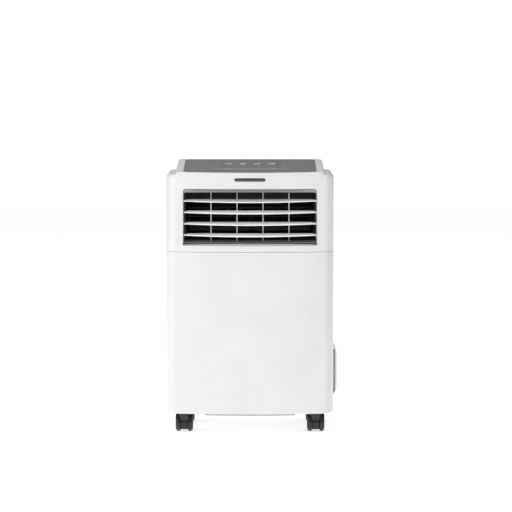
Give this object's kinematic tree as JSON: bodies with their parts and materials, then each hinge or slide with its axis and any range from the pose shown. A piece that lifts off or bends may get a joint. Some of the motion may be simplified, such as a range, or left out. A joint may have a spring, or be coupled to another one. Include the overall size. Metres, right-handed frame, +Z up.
{
  "type": "portable air conditioner",
  "caption": "Floor-standing portable air conditioner: bowed white housing, slatted front outlet, sloping grey control panel, rear intakes, hose collar and swivel casters.",
  "frame": {"origin": "middle of the overall box, on the floor under the casters", "axes": "+Z up, -Y towards the front with the air outlet, +X towards the side with the cord cleat"},
  "size_m": [0.4236, 0.302, 0.668],
  "materials": {
    "shell_white": "satin moulded plastic",
    "louver_white": "satin moulded plastic",
    "panel_grey": "satin moulded plastic",
    "overlay_grey": "smooth gloss film",
    "key_grey": "satin moulded plastic",
    "lens_smoke": "polished dark plastic",
    "frame_grey": "fine moulded grain",
    "pan_grey": "fine moulded grain",
    "black_plastic": "fine moulded grain",
    "caster_tread": "worn moulded nylon",
    "black_metal": "black enamel",
    "galvanised": "galvanised sheet",
    "coil_metal": "bare fins",
    "copper": "bare copper tube",
    "filter_mesh": "woven screen",
    "board_green": "lacquered board",
    "rubber": "matt rubber",
    "inner_plastic": "plain moulded plastic"
  },
  "bodies": {
    "housing": {"front_panel": "shell_white", "front_fascia": "shell_white", "rear_casing_lower": "shell_white", "rear_casing_upper": "shell_white", "exhaust_spigot": "shell_white", "control_panel": "panel_grey", "display_overlay": "overlay_grey", "receiver_lens": "lens_smoke", "outlet_frame": "frame_grey", "base_pan": "pan_grey", "cord_gland": "black_plastic", "compressor": "black_metal", "accumulator": "black_metal", "deck": "galvanised", "swing_motor": "galvanised", "blower_motor": "galvanised", "condenser_motor": "galvanised", "evaporator_coil": "coil_metal", "condenser_coil": "coil_metal", "suction_pipe": "copper", "discharge_pipe": "copper", "control_board": "board_green", "compressor_mounts": "rubber", "blower_housing": "inner_plastic", "condenser_scroll": "inner_plastic", "exhaust_duct": "inner_plastic", "evaporator_tray": "inner_plastic", "electrical_box": "inner_plastic", "cord_cleat": "inner_plastic"},
    "louver_1": {"louver_1": "louver_white"},
    "louver_2": {"louver_2": "louver_white"},
    "louver_3": {"louver_3": "louver_white"},
    "louver_4": {"louver_4": "louver_white"},
    "louver_link": {"louver_link": "black_plastic"},
    "vane_1": {"vane_1": "louver_white"},
    "vane_2": {"vane_2": "louver_white"},
    "vane_3": {"vane_3": "louver_white"},
    "vane_4": {"vane_4": "louver_white"},
    "vane_link": {"vane_link": "black_plastic"},
    "blower_wheel": {"blower_wheel": "black_plastic"},
    "condenser_wheel": {"condenser_wheel": "black_plastic"},
    "button_power": {"button_power": "key_grey"},
    "button_mode": {"button_mode": "key_grey"},
    "button_fan": {"button_fan": "key_grey"},
    "button_timer": {"button_timer": "key_grey"},
    "button_sleep": {"button_sleep": "key_grey"},
    "button_swing": {"button_swing": "key_grey"},
    "upper_grille": {"upper_intake_grille": "shell_white", "upper_filter": "filter_mesh"},
    "lower_grille": {"lower_intake_grille": "shell_white", "lower_filter": "filter_mesh"},
    "drain_plug": {"drain_plug": "rubber"},
    "caster_fork_front_left": {"caster_fork_front_left": "black_plastic"},
    "caster_wheels_front_left": {"caster_wheels_front_left": "caster_tread"},
    "caster_fork_front_right": {"caster_fork_front_right": "black_plastic"},
    "caster_wheels_front_right": {"caster_wheels_front_right": "caster_tread"},
    "caster_fork_rear_left": {"caster_fork_rear_left": "black_plastic"},
    "caster_wheels_rear_left": {"caster_wheels_rear_left": "caster_tread"},
    "caster_fork_rear_right": {"caster_fork_rear_right": "black_plastic"},
    "caster_wheels_rear_right": {"caster_wheels_rear_right": "caster_tread"}
  },
  "joints": [
    {"name": "louver_1_tilt", "type": "hinge", "parent": "housing", "child": "louver_1", "pos_m": [-0.0053, -0.1275, 0.5755], "axis": [1, 0, 0], "range_deg": [-41, 29]},
    {"name": "louver_2_tilt", "type": "hinge", "parent": "housing", "child": "louver_2", "pos_m": [-0.0053, -0.1275, 0.5475], "axis": [1, 0, 0], "range_deg": [-41, 29]},
    {"name": "louver_3_tilt", "type": "hinge", "parent": "housing", "child": "louver_3", "pos_m": [-0.0053, -0.1275, 0.5195], "axis": [1, 0, 0], "range_deg": [-41, 29]},
    {"name": "louver_4_tilt", "type": "hinge", "parent": "housing", "child": "louver_4", "pos_m": [-0.0053, -0.1275, 0.4915], "axis": [1, 0, 0], "range_deg": [-41, 29]},
    {"name": "louver_link_turn", "type": "hinge", "parent": "louver_1", "child": "louver_link", "pos_m": [0.1671, -0.11376, 0.57817], "axis": [1, 0, 0], "range_deg": [-29, 41]},
    {"name": "vane_1_turn", "type": "hinge", "parent": "housing", "child": "vane_1", "pos_m": [-0.1013, -0.086, 0.535], "axis": [0, 0, 1], "range_deg": [-35, 35]},
    {"name": "vane_2_turn", "type": "hinge", "parent": "housing", "child": "vane_2", "pos_m": [-0.0373, -0.086, 0.535], "axis": [0, 0, 1], "range_deg": [-35, 35]},
    {"name": "vane_3_turn", "type": "hinge", "parent": "housing", "child": "vane_3", "pos_m": [0.0267, -0.086, 0.535], "axis": [0, 0, 1], "range_deg": [-35, 35]},
    {"name": "vane_4_turn", "type": "hinge", "parent": "housing", "child": "vane_4", "pos_m": [0.0907, -0.086, 0.535], "axis": [0, 0, 1], "range_deg": [-35, 35]},
    {"name": "vane_link_turn", "type": "hinge", "parent": "vane_1", "child": "vane_link", "pos_m": [-0.1013, -0.072, 0.46], "axis": [0, 0, 1], "range_deg": [-35, 35]},
    {"name": "blower_spin", "type": "hinge", "parent": "housing", "child": "blower_wheel", "pos_m": [-0.0053, -0.001, 0.5357], "axis": [1, 0, 0], "continuous": true},
    {"name": "condenser_fan_spin", "type": "hinge", "parent": "housing", "child": "condenser_wheel", "pos_m": [0.0547, -0.029, 0.16015], "axis": [0, 1, 0], "continuous": true},
    {"name": "button_power_press", "type": "slide", "parent": "housing", "child": "button_power", "axis": [0, 0.0829, -0.9966], "range_m": [0, 0.001], "stiffness_N_per_m": 600},
    {"name": "button_mode_press", "type": "slide", "parent": "housing", "child": "button_mode", "axis": [0, 0.0829, -0.9966], "range_m": [0, 0.001], "stiffness_N_per_m": 600},
    {"name": "button_fan_press", "type": "slide", "parent": "housing", "child": "button_fan", "axis": [0, 0.0829, -0.9966], "range_m": [0, 0.001], "stiffness_N_per_m": 600},
    {"name": "button_timer_press", "type": "slide", "parent": "housing", "child": "button_timer", "axis": [0, 0.0829, -0.9966], "range_m": [0, 0.001], "stiffness_N_per_m": 600},
    {"name": "button_sleep_press", "type": "slide", "parent": "housing", "child": "button_sleep", "axis": [0, 0.0829, -0.9966], "range_m": [0, 0.001], "stiffness_N_per_m": 600},
    {"name": "button_swing_press", "type": "slide", "parent": "housing", "child": "button_swing", "axis": [0, 0.0829, -0.9966], "range_m": [0, 0.001], "stiffness_N_per_m": 600},
    {"name": "upper_grille_pull", "type": "slide", "parent": "housing", "child": "upper_grille", "axis": [0, 1, 0], "range_m": [0, 0.06]},
    {"name": "lower_grille_pull", "type": "slide", "parent": "housing", "child": "lower_grille", "axis": [0, 1, 0], "range_m": [0, 0.06]},
    {"name": "drain_plug_pull", "type": "slide", "parent": "housing", "child": "drain_plug", "axis": [0, 1, 0], "range_m": [0, 0.03]},
    {"name": "caster_swivel_front_left", "type": "hinge", "parent": "housing", "child": "caster_fork_front_left", "pos_m": [-0.1683, -0.083, 0.05], "axis": [0, 0, 1], "continuous": true},
    {"name": "caster_roll_front_left", "type": "hinge", "parent": "caster_fork_front_left", "child": "caster_wheels_front_left", "pos_m": [-0.1683, -0.071, 0.021], "axis": [1, 0, 0], "continuous": true},
    {"name": "caster_swivel_front_right", "type": "hinge", "parent": "housing", "child": "caster_fork_front_right", "pos_m": [0.1577, -0.083, 0.05], "axis": [0, 0, 1], "continuous": true},
    {"name": "caster_roll_front_right", "type": "hinge", "parent": "caster_fork_front_right", "child": "caster_wheels_front_right", "pos_m": [0.1577, -0.071, 0.021], "axis": [1, 0, 0], "continuous": true},
    {"name": "caster_swivel_rear_left", "type": "hinge", "parent": "housing", "child": "caster_fork_rear_left", "pos_m": [-0.1683, 0.095, 0.05], "axis": [0, 0, 1], "continuous": true},
    {"name": "caster_roll_rear_left", "type": "hinge", "parent": "caster_fork_rear_left", "child": "caster_wheels_rear_left", "pos_m": [-0.1683, 0.107, 0.021], "axis": [1, 0, 0], "continuous": true},
    {"name": "caster_swivel_rear_right", "type": "hinge", "parent": "housing", "child": "caster_fork_rear_right", "pos_m": [0.1577, 0.095, 0.05], "axis": [0, 0, 1], "continuous": true},
    {"name": "caster_roll_rear_right", "type": "hinge", "parent": "caster_fork_rear_right", "child": "caster_wheels_rear_right", "pos_m": [0.1577, 0.107, 0.021], "axis": [1, 0, 0], "continuous": true}
  ],
  "couplings": [
    {"joint": "louver_2_tilt", "follows": "louver_1_tilt", "ratio": 1},
    {"joint": "louver_3_tilt", "follows": "louver_1_tilt", "ratio": 1},
    {"joint": "louver_4_tilt", "follows": "louver_1_tilt", "ratio": 1},
    {"joint": "louver_link_turn", "follows": "louver_1_tilt", "ratio": -1},
    {"joint": "vane_2_turn", "follows": "vane_1_turn", "ratio": 1},
    {"joint": "vane_3_turn", "follows": "vane_1_turn", "ratio": 1},
    {"joint": "vane_4_turn", "follows": "vane_1_turn", "ratio": 1},
    {"joint": "vane_link_turn", "follows": "vane_1_turn", "ratio": -1}
  ]
}
